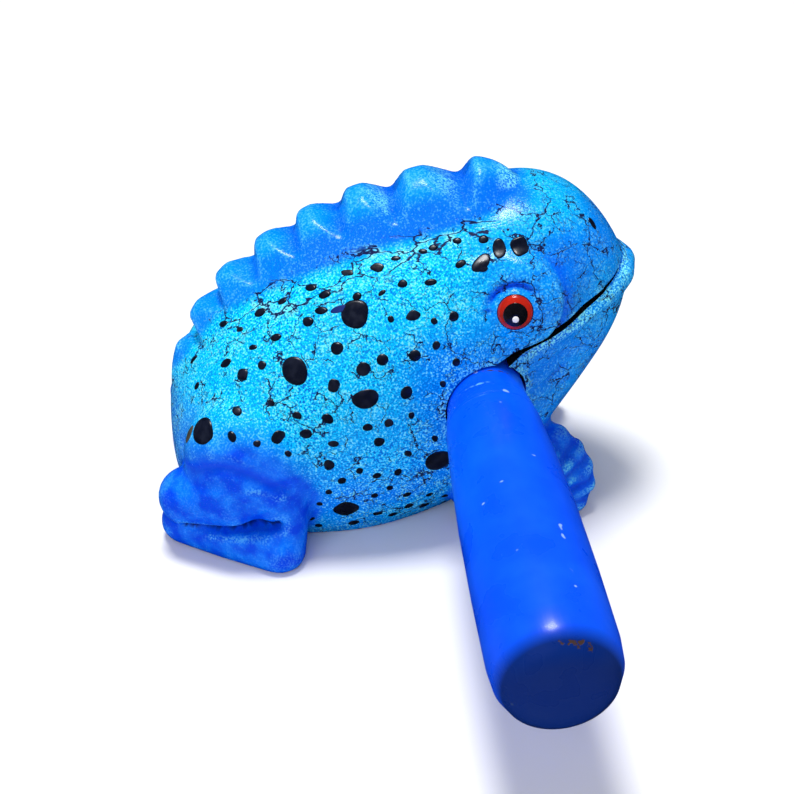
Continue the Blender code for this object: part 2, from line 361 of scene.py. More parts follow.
def block(name, rings):
    """A closed solid between rings of as many points each, in millimetres, with flat faces."""
    deselect()
    bpy.ops.mesh.primitive_circle_add(vertices=len(rings[0]), radius=MM, fill_type="NGON")
    solid = bpy.context.object
    solid.name = name
    for v, place in zip(solid.data.vertices, rings[0]):
        v.co = place * MM
    for before, ring in zip(rings, rings[1:]):
        bpy.ops.object.mode_set(mode="EDIT")
        bpy.ops.mesh.extrude_region_move()
        bpy.ops.object.mode_set(mode="OBJECT")
        for v in solid.data.vertices:
            if v.select:
                nearest = min(range(len(before)), key=lambda i: (before[i] * MM - v.co).length)
                v.co = ring[nearest] * MM
    bpy.ops.object.mode_set(mode="EDIT")
    bpy.ops.mesh.select_all(action="SELECT")
    bpy.ops.mesh.normals_make_consistent(inside=False)
    bpy.ops.object.mode_set(mode="OBJECT")
    return solid


def notch_cutter():
    """A wedge across the ridge between each two tips, its root falling to both sides."""
    wedges = []
    for (x0, z0, width0), (x1, z1, width1) in zip(TEETH, TEETH[1:]):
        run = Vector((x1 - x0, 0.0, z1 - z0))
        out = Vector((-run.z, 0.0, run.x))
        reach = NOTCH_REACH * max(width0, width1)
        rings = []
        for y in (-reach, 0.0, reach):
            root = Vector((x0, y, z0)) - out.normalized() * NOTCH_FALL * abs(y)
            rings.append([root + run * along + out * high for along, high in NOTCH])
        wedges.append(block("notch", rings))
    return join("notches", wedges)


def join(name, pieces):
    make_active(pieces[0])
    for piece in pieces:
        piece.select_set(True)
    bpy.ops.object.join()
    joined = bpy.context.object
    joined.name = joined.data.name = name
    return joined


def mirrored(obj, forward=0.0):
    """A copy of obj on the frog's left side."""
    make_active(obj)
    bpy.ops.object.duplicate()
    copy = bpy.context.object
    copy.scale.y = -1.0
    copy.location.x = forward * MM
    rest_in_mesh(copy)
    bpy.ops.object.mode_set(mode="EDIT")
    bpy.ops.mesh.select_all(action="SELECT")
    bpy.ops.mesh.normals_make_consistent(inside=False)
    bpy.ops.object.mode_set(mode="OBJECT")
    return copy


def fuse(obj, voxel):
    remesh = obj.modifiers.new("fuse", "REMESH")
    remesh.mode = "VOXEL"
    remesh.voxel_size = voxel
    apply_modifiers(obj)


def relax(obj, factor, iterations):
    soft = obj.modifiers.new("relax", "SMOOTH")
    soft.factor = factor
    soft.iterations = iterations
    apply_modifiers(obj)


def cut(obj, cutter):
    boolean = obj.modifiers.new("cut", "BOOLEAN")
    boolean.operation = "DIFFERENCE"
    boolean.object = cutter
    boolean.material_mode = "TRANSFER"
    apply_modifiers(obj)
    bpy.data.objects.remove(cutter)


def drill(radius, x, z, material):
    deselect()
    bpy.ops.mesh.primitive_cylinder_add(
        vertices=96, radius=radius * MM, depth=2 * CUT_REACH * MM, location=(x * MM, 0, z * MM), rotation=(math.pi / 2, 0, 0)
    )
    bar = bpy.context.object
    rest_in_mesh(bar)
    bar.data.materials.append(material)
    return bar


def saw(material):
    rings = []
    for y in (-CUT_REACH, CUT_REACH):
        lower = [Vector((x, y, z - height / 2)) for x, z, height in MOUTH]
        upper = [Vector((x, y, z + height / 2)) for x, z, height in reversed(MOUTH)]
        rings.append(lower + upper)
    blade = block("saw_cut", rings)
    blade.data.materials.append(material)
    return blade


def ground_block(material):
    deselect()
    bpy.ops.mesh.primitive_cube_add(size=0.2, location=(0, 0, -0.1))
    block = bpy.context.object
    rest_in_mesh(block)
    block.data.materials.append(material)
    return block


# ---------------------------------------------------------------- strokes and masks


def points_of(mesh):
    co = np.empty(len(mesh.vertices) * 3)
    mesh.vertices.foreach_get("co", co)
    return co.reshape(-1, 3) / MM


def normals_of(mesh):
    normals = np.empty(len(mesh.vertices) * 3)
    mesh.vertex_normals.foreach_get("vector", normals)
    return normals.reshape(-1, 3)


def line_distance(points, path):
    """Distance of each point to a path, in as many dimensions as both have."""
    nearest = np.full(len(points), np.inf)
    for a, b in zip(path, path[1:]):
        a, run = np.array(a, float), np.array(b, float) - np.array(a, float)
        t = np.clip((points - a) @ run / (run @ run), 0.0, 1.0)
        nearest = np.minimum(nearest, np.linalg.norm(points - a - t[:, None] * run, axis=1))
    return nearest


def smooth_path(path, steps=6):
    """A rounder path through the same points."""
    path = [np.array(p, float) for p in path]
    if len(path) < 3:
        return path
    ends = [2 * path[0] - path[1], *path, 2 * path[-1] - path[-2]]
    route = []
    for p0, p1, p2, p3 in zip(ends, ends[1:], ends[2:], ends[3:]):
        for i in range(steps):
            t = i / steps
            bend = (2 * p0 - 5 * p1 + 4 * p2 - p3) * t * t + (3 * p1 - p0 - 3 * p2 + p3) * t**3
            route.append(0.5 * (2 * p1 + (p2 - p0) * t + bend))
    return [*route, path[-1]]


def step(value, low, high):
    t = np.clip((value - low) / (high - low), 0.0, 1.0)
    return t * t * (3 - 2 * t)


def stroke_depth(points, normals, strokes, left_forward=0.0):
    """How far each point goes in for strokes that are seen from the side."""
    depth = np.zeros(len(points))
    facing = step(np.abs(normals[:, 1]), 0.15, 0.4)
    seen = points[:, [0, 2]].copy()
    seen[points[:, 1] > 0, 0] -= left_forward
    for path, half_width, deep in strokes:
        away = line_distance(seen, smooth_path(path))
        depth += deep * np.exp(-((away / half_width) ** 2)) * facing
    return depth


def beside(points, path):
    """Signed distance to a path in a plane: positive on the left of its direction."""
    nearest, signed = np.full(len(points), np.inf), np.zeros(len(points))
    for a, b in zip(path, path[1:]):
        run = b - a
        t = np.clip((points - a) @ run / (run @ run), 0.0, 1.0)
        away = points - a - t[:, None] * run
        distance = np.linalg.norm(away, axis=1)
        side = np.sign(away @ np.array([-run[1], run[0]]))
        signed = np.where(distance < nearest, side * distance, signed)
        nearest = np.minimum(nearest, distance)
    return signed


def shelf(points, normals):
    """How far the snout goes in beside the eye mound: 1 at the foot of the step."""
    out = np.hypot(points[:, 0] - EYE_X, points[:, 2] - EYE_Z) - SHELF_RADIUS
    facing = step(np.abs(normals[:, 1]), 0.15, 0.4)
    fade = step(-points[:, 2], -63.0, -57.0) * step(points[:, 0], 24.0, 29.0)
    return step(out, -0.5, 0.6) * np.exp(-np.maximum(out, 0.0) / SHELF_REACH) * facing * fade


def eye_frames(tree):
    """Middle and outward direction of each eye, right one first."""
    frames = []
    for side in (-1, 1):
        hit, normal = tree.ray_cast(Vector((EYE_X * MM, side * 0.08, EYE_Z * MM)), Vector((0, -side, 0)))[:2]
        look = (normal + Vector((0.0, side * 0.5, 0.35))).normalized()
        frames.append((hit, look))
    return frames


def lid_arc(points, middle):
    """1 on the carved furrow of an eyelid, which runs over the top of the eye from its rear."""
    away = points - np.array(middle) / MM
    distance = np.linalg.norm(away, axis=1)
    turn = np.degrees(np.arctan2(away[:, 2], away[:, 0]))
    arc = step(turn, 15, 60) * step(-turn, -190, -150) + step(-turn, 165, 180)
    return np.exp(-(((distance - LID_RADIUS) / LID_WIDTH) ** 2)) * np.clip(arc, 0, 1)


def carve_strokes(frog):
    """Moves the skin in and out for lids, creases, wrinkles and toes."""
    points, normals = points_of(frog.data), normals_of(frog.data)
    depth = stroke_depth(points, normals, HEAD_STROKES + THROAT_FOLDS + TOE_STROKES)
    depth += stroke_depth(points, normals, HIND_STROKES + HIND_SLIT, LEFT_HIND_FORWARD)
    depth += SHELF_DEPTH * shelf(points, normals)
    for middle, _ in eye_frames(tree_of(frog)):
        depth += LID_DEPTH * lid_arc(points, middle)
    moved = (points - normals * depth[:, None]) * MM
    frog.data.vertices.foreach_set("co", moved.ravel())
    frog.data.update()


def tree_of(obj):
    mesh = obj.data
    return BVHTree.FromPolygons([v.co.copy() for v in mesh.vertices], [p.vertices[:] for p in mesh.polygons])


def convexity(mesh, points, normals, passes=3):
    """Positive on outer edges and negative in creases, from each point's neighbours."""
    edges = np.empty(len(mesh.edges) * 2, np.int32)
    mesh.edges.foreach_get("vertices", edges)
    a, b = edges.reshape(-1, 2).T
    count = np.bincount(a, minlength=len(points)) + np.bincount(b, minlength=len(points))

    def spread(values):
        total = np.zeros_like(values)
        np.add.at(total, a, values[b])
        np.add.at(total, b, values[a])
        return total / np.maximum(count, 1).reshape((-1,) + (1,) * (values.ndim - 1))

    bulge = np.einsum("ij,ij->i", normals, points - spread(spread(points)))
    for _ in range(passes):
        bulge = spread(bulge)
    return bulge


def set_attribute(mesh, name, values):
    attribute = mesh.attributes.new(name, "FLOAT", "POINT")
    attribute.data.foreach_set("value", values.astype(np.float32))


def paint_masks(frog):
    """Where the paint is pale, deep or bare of cracks, where edges and creases are, and where painted shade, painted
    highlights and a painted reflection go.
    """
    points, normals = points_of(frog.data), normals_of(frog.data)
    x, y, z = points.T
    near = np.abs(y)
    foot_x, foot_z = np.array(RIDGE_FOOT, float).T
    tip_x, tip_z = np.array([(-44, 22), *[t[:2] for t in TEETH], (31, 68.5)], float).T
    foot = np.interp(x, foot_x, foot_z)
    above = z - foot
    share = above / np.maximum(np.interp(x, tip_x, tip_z) - foot, 2.0)
    middle = step(-near, -14.5, -12.0)
    ridge = step(above, -0.8, 1.6) * middle * step(-x, -33.0, -30.0)
    band = np.exp(-(((above + 0.8) / 2.4) ** 2)) * step(-near, -18.0, -14.0) * step(x, -34, -26) * step(-x, -27, -18)
    hind_x = x - np.where(y > 0, LEFT_HIND_FORWARD, 0.0)
    side_points = np.stack([hind_x, -near, z], 1)
    hind = np.full(len(points), np.inf)
    for chain in (SHANK, FOOT, INSTEP):
        hind = np.minimum(hind, line_distance(side_points, [p[:3] for p in chain]) - 6.2)
    thigh = np.hypot((hind_x + 29.0) / 13.2, (z - 16.0) / 15.0)
    thigh = step(-thigh, -1.3, -0.7) * step(near, 9.0, 15.0)
    fore = np.full(len(points), np.inf)
    near_side = np.stack([x, -near, z], 1)
    for chain in (FOREARM, *TOES):
        fore = np.minimum(fore, line_distance(near_side, [p[:3] for p in chain]) - chain[0][3])
    legs = np.maximum.reduce([step(-hind, -3.0, -0.4), step(-fore, -3.0, -0.3), thigh])
    head = step(x, 13.0, 27.0)
    # Painted shade: less pale spray on the flank behind the head, above the bore and striker.
    painted_shade_behind_head = np.exp(-(((x - 14.0) / 11.0) ** 2)) * step(-z, -52.0, -42.0)
    pale = (1 - head * (0.85 - 0.35 * step(z, 60.0, 66.0))) * step(z, 8.0, 36.0) * (1 - 0.85 * painted_shade_behind_head)
    pale = np.maximum(pale, 0.4 * step(-z, -14.0, -6.0))
    # Painted shade: deep blue in deep carved strokes, eyelid furrows and the eye mound's step.
    strokes = [s for s in HEAD_STROKES + TOE_STROKES if s[2] > 0.5]
    groove_shade = stroke_depth(points, normals, strokes)
    groove_shade += stroke_depth(points, normals, [s for s in HIND_STROKES if s[2] > 0.5], LEFT_HIND_FORWARD)
    groove_shade = np.clip(groove_shade, 0, 1)
    for centre, _ in eye_frames(tree_of(frog)):
        groove_shade = np.maximum(groove_shade, lid_arc(points, centre))
    groove_shade = np.maximum(groove_shade, 0.75 * shelf(points, normals))
    rim = step(-beside(points[:, [0, 2]], [np.array(m[:2]) for m in MOUTH]), 0.0, 0.8)
    rim *= step(beside(points[:, [0, 2]], [np.array(m[:2]) for m in MOUTH]), -3.4, -2.2) * step(x, 24.0, 32.0)
    # Painted shade inside the hind slit.
    slit_shade = stroke_depth(points, normals, [(path, 0.9 * width, 1.0) for path, width, _ in HIND_SLIT], LEFT_HIND_FORWARD)
    cracks = 0.55 + 0.27 * band + 0.02 * head * step(z, 36, 44)
    masks = {
        "ridge": ridge,
        "tip": np.maximum(step(share, 0.5, 0.85), 0.7 * step(-x, 8.0, 30.0)) * ridge,
        "band": band,
        "legs": legs,
        # Where the painted violet reflection under the tail goes.
        "rump": step(-x, 34.0, 42.0) * step(-z, -34.0, -24.0) * (1 - legs),
        "head": head,
        "pale": pale,
        "groove_shade": groove_shade,
        "rim": rim,
        "slit_shade": step(slit_shade, 0.3, 0.6),
        # Painted highlight on the forward faces of the teeth.
        "facet_highlight": ridge * step(normals[:, 0], 0.30, 0.60) * step(share, 0.30, 0.55),
        "cracks": cracks * (1 - legs) * (1 - 0.8 * ridge * step(share, 0.1, 0.5)),
        "bulge": convexity(frog.data, points, normals),
    }
    for name, values in masks.items():
        set_attribute(frog.data, name, values)


# ---------------------------------------------------------------- shader helpers


def new_material(name):
    material = bpy.data.materials.new(name)
    material.use_nodes = True
    nodes = material.node_tree.nodes
    return material, material.node_tree, nodes["Principled BSDF"]


def node(tree, kind, inputs=(), **settings):
    """A node with its settings, and its inputs set or linked by name or number."""
    made = tree.nodes.new(kind)
    for key, value in settings.items():
        setattr(made, key, value)
    for key, value in dict(inputs).items():
        if isinstance(value, bpy.types.NodeSocket):
            tree.links.new(value, made.inputs[key])
        else:
            made.inputs[key].default_value = value
    return made


def math_node(tree, operation, a, b=0.0, clamp=False):
    return node(tree, "ShaderNodeMath", {0: a, 1: b}, operation=operation, use_clamp=clamp).outputs[0]


def mixed(tree, factor, a, b, blend="MIX"):
    made = node(tree, "ShaderNodeMix", {0: factor, 6: a, 7: b}, data_type="RGBA", blend_type=blend)
    made.clamp_factor = True
    return made.outputs[2]


def ranged(tree, value, low, high, to_low=0.0, to_high=1.0):
    made = node(tree, "ShaderNodeMapRange", {0: value, 1: low, 2: high, 3: to_low, 4: to_high})
    return made.outputs[0]


def attribute(tree, name):
    return node(tree, "ShaderNodeAttribute", attribute_name=name).outputs["Fac"]


def object_place(tree):
    return node(tree, "ShaderNodeTexCoord").outputs["Object"]


def new_group(name, inputs, outputs):
    """A shader node group: (socket name, socket type, default) in, (name, type) out."""
    group = bpy.data.node_groups.new(name, "ShaderNodeTree")
    for label, kind, default in inputs:
        socket = group.interface.new_socket(label, in_out="INPUT", socket_type=kind)
        if default is not None:
            socket.default_value = default
    for label, kind in outputs:
        group.interface.new_socket(label, in_out="OUTPUT", socket_type=kind)
    return group, group.nodes.new("NodeGroupInput"), group.nodes.new("NodeGroupOutput")


def crackle_group():
    """Broken cracks in dried paint: 1 in a crack, and beside it the lifted lip of each flake."""
    group, given, result = new_group(
        "Crackle",
        [
            ("Vector", "NodeSocketVector", None),
            ("Scale", "NodeSocketFloat", 200.0),
            ("Width", "NodeSocketFloat", 0.05),
            ("Coverage", "NodeSocketFloat", 0.5),
        ],
        [("Crack", "NodeSocketFloat"), ("Lip", "NodeSocketFloat")],
    )
    place = given.outputs["Vector"]
    for scale, reach in ((380.0, 0.0030), (1500.0, 0.0010)):
        wander = node(group, "ShaderNodeTexNoise", {"Vector": given.outputs[0], "Scale": scale, "Detail": 1.0})
        centred = node(group, "ShaderNodeVectorMath", {0: wander.outputs["Color"], 1: (0.5, 0.5, 0.5)})
        centred.operation = "SUBTRACT"
        small = node(group, "ShaderNodeVectorMath", {0: centred.outputs[0], "Scale": reach}, operation="SCALE")
        place = node(group, "ShaderNodeVectorMath", {0: place, 1: small.outputs[0]}, operation="ADD").outputs[0]
    cells = node(
        group,
        "ShaderNodeTexVoronoi",
        {"Vector": place, "Scale": given.outputs["Scale"]},
        feature="DISTANCE_TO_EDGE",
    )
    away = cells.outputs["Distance"]
    width = given.outputs["Width"]
    patch = node(group, "ShaderNodeTexNoise", {"Vector": given.outputs[0], "Scale": 260.0, "Detail": 2.0})
    floor = math_node(group, "SUBTRACT", 1.0, given.outputs["Coverage"])
    soft = math_node(group, "ADD", floor, 0.10)
    shown = node(group, "ShaderNodeMapRange", {0: patch.outputs[0], 1: floor, 2: soft}).outputs[0]
    opened = math_node(group, "MULTIPLY", width, shown)
    line = node(group, "ShaderNodeMapRange", {0: away, 1: math_node(group, "MULTIPLY", opened, 0.4), 2: opened, 3: 1.0, 4: 0.0})
    crack = math_node(group, "MULTIPLY", line.outputs[0], math_node(group, "GREATER_THAN", shown, 0.08))
    lip = node(group, "ShaderNodeMapRange", {0: away, 1: width, 2: math_node(group, "MULTIPLY", width, 2.6), 3: 1.0, 4: 0.0})
    beside = math_node(group, "MULTIPLY", lip.outputs[0], shown)
    group.links.new(crack, result.inputs[0])
    group.links.new(math_node(group, "SUBTRACT", beside, crack, clamp=True), result.inputs[1])
    return group


def speckle_group():
    """Fine grains: a light and a dark grain mask from two layers of noise."""
    group, given, result = new_group(
        "Speckle",
        [
            ("Vector", "NodeSocketVector", None),
            ("Scale", "NodeSocketFloat", 1800.0),
            ("Amount", "NodeSocketFloat", 0.5),
        ],
        [("Light", "NodeSocketFloat"), ("Dark", "NodeSocketFloat"), ("Height", "NodeSocketFloat")],
    )
    fine = node(group, "ShaderNodeTexNoise", {"Vector": given.outputs[0], "Scale": given.outputs["Scale"], "Detail": 1.0})
    wide = node(group, "ShaderNodeTexNoise", {"Vector": given.outputs[0], "Scale": 260.0, "Detail": 2.0})
    drift = math_node(group, "MULTIPLY", math_node(group, "SUBTRACT", wide.outputs[0], 0.5), 0.35)
    grain = math_node(group, "ADD", fine.outputs[0], drift)
    reach = math_node(group, "MULTIPLY", given.outputs["Amount"], 0.16)
    top = math_node(group, "SUBTRACT", 0.70, reach)
    light = node(group, "ShaderNodeMapRange", {0: grain, 1: top, 2: math_node(group, "ADD", top, 0.10)})
    low = math_node(group, "ADD", 0.34, reach)
    dark = node(group, "ShaderNodeMapRange", {0: grain, 1: low, 2: math_node(group, "SUBTRACT", low, 0.10)})
    group.links.new(light.outputs[0], result.inputs[0])
    group.links.new(dark.outputs[0], result.inputs[1])
    group.links.new(grain, result.inputs[2])
    return group


def grain_group():
    """Wood grain along Z of its vector: a colour drift and a fine height."""
    group, given, result = new_group(
        "Wood Grain",
        [("Vector", "NodeSocketVector", None), ("Light", "NodeSocketColor", (0.55, 0.33, 0.16, 1)), ("Dark", "NodeSocketColor", (0.28, 0.14, 0.06, 1))],
        [("Color", "NodeSocketColor"), ("Height", "NodeSocketFloat")],
    )
    long = node(group, "ShaderNodeMapping", {"Vector": given.outputs[0], "Scale": (1.0, 0.12, 1.0)})
    streak = node(group, "ShaderNodeTexNoise", {"Vector": long.outputs[0], "Scale": 900.0, "Detail": 4.0})
    colour = mixed(group, ranged(group, streak.outputs[0], 0.35, 0.65), given.outputs["Dark"], given.outputs["Light"])
    group.links.new(colour, result.inputs[0])
    group.links.new(streak.outputs[0], result.inputs[1])
    return group


def use_group(tree, group, **values):
    made = tree.nodes.new("ShaderNodeGroup")
    made.node_tree = group
    for key, value in values.items():
        if isinstance(value, bpy.types.NodeSocket):
            tree.links.new(value, made.inputs[key])
        else:
            made.inputs[key].default_value = value
    return made


def bump(tree, height, strength, distance, shader):
    made = node(tree, "ShaderNodeBump", {"Height": height, "Strength": strength, "Distance": distance})
    tree.links.new(made.outputs[0], shader.inputs["Normal"])


# ---------------------------------------------------------------- finishes


def rgba(colour):
    return (*colour[:3], 1.0)


def body_paint(settings, groups):
    """Cyan airbrushed over blue, grainy and crackled; deep blue on ridge and legs, with painted shade in creases and
    slits, painted highlights on edges, facets and flake lips, and a painted violet reflection on the rump.
    """
    material, tree, shader = new_material("body_paint")
    place = object_place(tree)
    names = ("ridge", "tip", "band", "legs", "rump", "pale", "groove_shade", "rim", "slit_shade", "facet_highlight", "head", "cracks", "bulge")
    mask = {name: attribute(tree, name) for name in names}
    plain = math_node(tree, "MAXIMUM", mask["legs"], math_node(tree, "MULTIPLY", mask["ridge"], 0.8), clamp=True)
    plain = math_node(tree, "MAXIMUM", plain, math_node(tree, "MULTIPLY", mask["head"], 0.6))
    broad = node(tree, "ShaderNodeTexNoise", {"Vector": place, "Scale": 75.0, "Detail": 3.0}).outputs[0]
    cloud = node(tree, "ShaderNodeTexNoise", {"Vector": place, "Scale": 260.0, "Detail": 4.0}).outputs[0]

    spray = math_node(tree, "ADD", mask["pale"], ranged(tree, broad, 0.35, 0.65, -0.22, 0.22), clamp=True)
    skin_colour = mixed(tree, spray, rgba(settings.body_colour), rgba(settings.body_pale))
    crest = mixed(tree, mask["tip"], rgba(settings.ridge_colour), rgba(settings.tip_colour))
    brushed = ranged(tree, cloud, 0.36, 0.64)
    limb_paint = mixed(tree, brushed, rgba(settings.leg_and_crease_shade_colour), rgba(settings.ridge_colour))
    colour = mixed(tree, mask["ridge"], skin_colour, crest)
    colour = mixed(tree, mask["legs"], colour, limb_paint)
    # Painted reflection: violet on the rump under the tail.
    colour = mixed(tree, math_node(tree, "MULTIPLY", mask["rump"], 0.55), colour, rgba(settings.rump_reflection_colour))

    grains = use_group(tree, groups["speckle"], Vector=place, Scale=2500.0, Amount=0.85)
    open_skin = ranged(tree, plain, 0.0, 1.0, 1.0, 0.25)
    open_skin = math_node(tree, "MULTIPLY", open_skin, ranged(tree, broad, 0.42, 0.58, 0.65, 1.0))
    dark = math_node(tree, "MULTIPLY", grains.outputs["Dark"], open_skin)
    light = math_node(tree, "MULTIPLY", grains.outputs["Light"], ranged(tree, plain, 0.0, 1.0, 1.0, 0.08))
    colour = mixed(tree, math_node(tree, "MULTIPLY", dark, 0.9), colour, rgba(settings.grain_colour))
    colour = mixed(tree, math_node(tree, "MULTIPLY", light, 0.75), colour, rgba(settings.speckle_and_highlight_colour))

    # Painted shade: deep blue laid in concave creases and carved grooves.
    crease_shade = ranged(tree, mask["bulge"], -0.02, -0.10, 0.0, 0.5)
    edge = ranged(tree, mask["bulge"], 0.03, 0.12, 0.0, 0.55)
    colour = mixed(tree, math_node(tree, "MAXIMUM", crease_shade, mask["groove_shade"]), colour, rgba(settings.leg_and_crease_shade_colour))
    # Pale speckle on convex edges and the lip rim is partly wear and partly painted highlight; on the teeth's forward
    # facets it is painted highlight.
    edge = math_node(tree, "MAXIMUM", edge, math_node(tree, "MAXIMUM", mask["facet_highlight"], mask["rim"]))
    worn = math_node(tree, "MULTIPLY", edge, ranged(tree, grains.outputs["Height"], 0.42, 0.62))
    colour = mixed(tree, worn, colour, rgba(settings.speckle_and_highlight_colour))

    long = node(tree, "ShaderNodeMapping", {"Vector": place, "Rotation": (0, math.radians(20), 0), "Scale": (0.45, 1, 1)})
    along = use_group(tree, groups["crackle"], Vector=long.outputs[0], Scale=230.0, Width=0.040, Coverage=mask["cracks"])
    scattered = math_node(tree, "SUBTRACT", mask["cracks"], math_node(tree, "MULTIPLY", mask["band"], 0.4))
    wide = use_group(tree, groups["crackle"], Vector=place, Scale=165.0, Width=0.026, Coverage=scattered)
    close = use_group(tree, groups["crackle"], Vector=place, Scale=420.0, Width=0.036, Coverage=scattered)
    ridge_cracks = math_node(tree, "MULTIPLY", along.outputs[0], ranged(tree, mask["band"], 0.15, 0.5))
    fine_cracks = math_node(tree, "MULTIPLY", close.outputs[0], 0.55)
    cracks = math_node(tree, "MAXIMUM", math_node(tree, "MAXIMUM", wide.outputs[0], fine_cracks), ridge_cracks)
    cracks = math_node(tree, "MULTIPLY", cracks, ranged(tree, mask["legs"], 0.1, 0.6, 1.0, 0.0), clamp=True)
    # Painted glints: pale on the lifted flake lips along the ridge foot; the same mask also raises the bump.
    lip_relief_and_glints = math_node(tree, "MULTIPLY", along.outputs[1], mask["band"])
    lip_relief_and_glints = math_node(tree, "MULTIPLY", lip_relief_and_glints, ranged(tree, cloud, 0.5, 0.6), clamp=True)
    colour = mixed(tree, lip_relief_and_glints, colour, rgba(settings.speckle_and_highlight_colour))
    # Painted shade: the hind slit is laid in the crack navy, besides the real cracks.
    dark_lines = math_node(tree, "MAXIMUM", cracks, math_node(tree, "MULTIPLY", mask["slit_shade"], 0.97))
    colour = mixed(tree, dark_lines, colour, rgba(settings.crack_and_slit_shade_colour))
    tree.links.new(colour, shader.inputs["Base Color"])

    rough = ranged(tree, cloud, 0.3, 0.7, 0.16, 0.30)
    rough = math_node(tree, "ADD", rough, math_node(tree, "MULTIPLY", cracks, 0.4), clamp=True)
    tree.links.new(rough, shader.inputs["Roughness"])
    shader.inputs["Specular IOR Level"].default_value = 0.2
    shader.inputs["Coat Weight"].default_value = 0.07
    shader.inputs["Coat Roughness"].default_value = 0.1
    relief = math_node(tree, "MULTIPLY", grains.outputs["Height"], ranged(tree, plain, 0.0, 1.0, 0.7, 0.3))
    relief = math_node(tree, "ADD", relief, math_node(tree, "MULTIPLY", cloud, 0.5))
    relief = math_node(tree, "ADD", relief, math_node(tree, "MULTIPLY", lip_relief_and_glints, 0.5))
    relief = math_node(tree, "SUBTRACT", relief, cracks)
    bump(tree, relief, 0.6, 0.00025, shader)
    return material


def mouth_paint(settings, groups):
    """Black brushed into the saw cut."""
    material, tree, shader = new_material("mouth_black")
    place = object_place(tree)
    grains = use_group(tree, groups["speckle"], Vector=place, Scale=1200.0, Amount=0.3)
    colour = mixed(tree, grains.outputs["Light"], (0.003, 0.004, 0.009, 1), (0.02, 0.03, 0.06, 1))
    tree.links.new(colour, shader.inputs["Base Color"])
    shader.inputs["Roughness"].default_value = 0.5
    bump(tree, grains.outputs["Height"], 0.4, 0.0001, shader)
    return material


def bore_wood(settings, groups):
    """Bare wood in the bore, with blue that ran in from both ends."""
    material, tree, shader = new_material("bore_wood")
    place = object_place(tree)
    grain = use_group(tree, groups["grain"], Vector=place)
    across = node(tree, "ShaderNodeSeparateXYZ", {0: place}).outputs[1]
    ragged = node(tree, "ShaderNodeTexNoise", {"Vector": place, "Scale": 300.0, "Detail": 3.0}).outputs[0]
    out = math_node(tree, "ADD", math_node(tree, "ABSOLUTE", across), math_node(tree, "MULTIPLY", ragged, 0.01))
    painted = ranged(tree, out, 0.018, 0.024)
    colour = mixed(tree, painted, grain.outputs["Color"], rgba(settings.leg_and_crease_shade_colour))
    tree.links.new(colour, shader.inputs["Base Color"])
    tree.links.new(ranged(tree, painted, 0.0, 1.0, 0.75, 0.4), shader.inputs["Roughness"])
    bump(tree, grain.outputs["Height"], 0.4, 0.0002, shader)
    return material


def worn_base(settings, groups):
    """The flat underneath: paint scuffed through to the wood."""
    material, tree, shader = new_material("worn_base")
    place = object_place(tree)
    grain = use_group(tree, groups["grain"], Vector=place)
    scuff = node(tree, "ShaderNodeTexNoise", {"Vector": place, "Scale": 130.0, "Detail": 6.0, "Roughness": 0.7}).outputs[0]
    bare = ranged(tree, scuff, 0.52, 0.58)
    colour = mixed(tree, bare, rgba(settings.leg_and_crease_shade_colour), grain.outputs["Color"])
    tree.links.new(colour, shader.inputs["Base Color"])
    tree.links.new(ranged(tree, bare, 0.0, 1.0, 0.45, 0.8), shader.inputs["Roughness"])
    bump(tree, math_node(tree, "SUBTRACT", grain.outputs["Height"], bare), 0.3, 0.0002, shader)
    return material


def enamel(name, colour, second, groups, roughness=0.16):
    """A thick glossy drop, with the slight skin and drift of brushed enamel."""
    material, tree, shader = new_material(name)
    place = object_place(tree)
    drift = node(tree, "ShaderNodeTexNoise", {"Vector": place, "Scale": 500.0, "Detail": 3.0}).outputs[0]
    base = mixed(tree, ranged(tree, drift, 0.45, 0.75), rgba(colour), rgba(second))
    tree.links.new(base, shader.inputs["Base Color"])
    tree.links.new(ranged(tree, drift, 0.3, 0.7, roughness, roughness + 0.14), shader.inputs["Roughness"])
    shader.inputs["Specular IOR Level"].default_value = 0.35
    shader.inputs["Coat Weight"].default_value = 0.12
    shader.inputs["Coat Roughness"].default_value = 0.12
    bump(tree, drift, 0.35, 0.00015, shader)
    return material


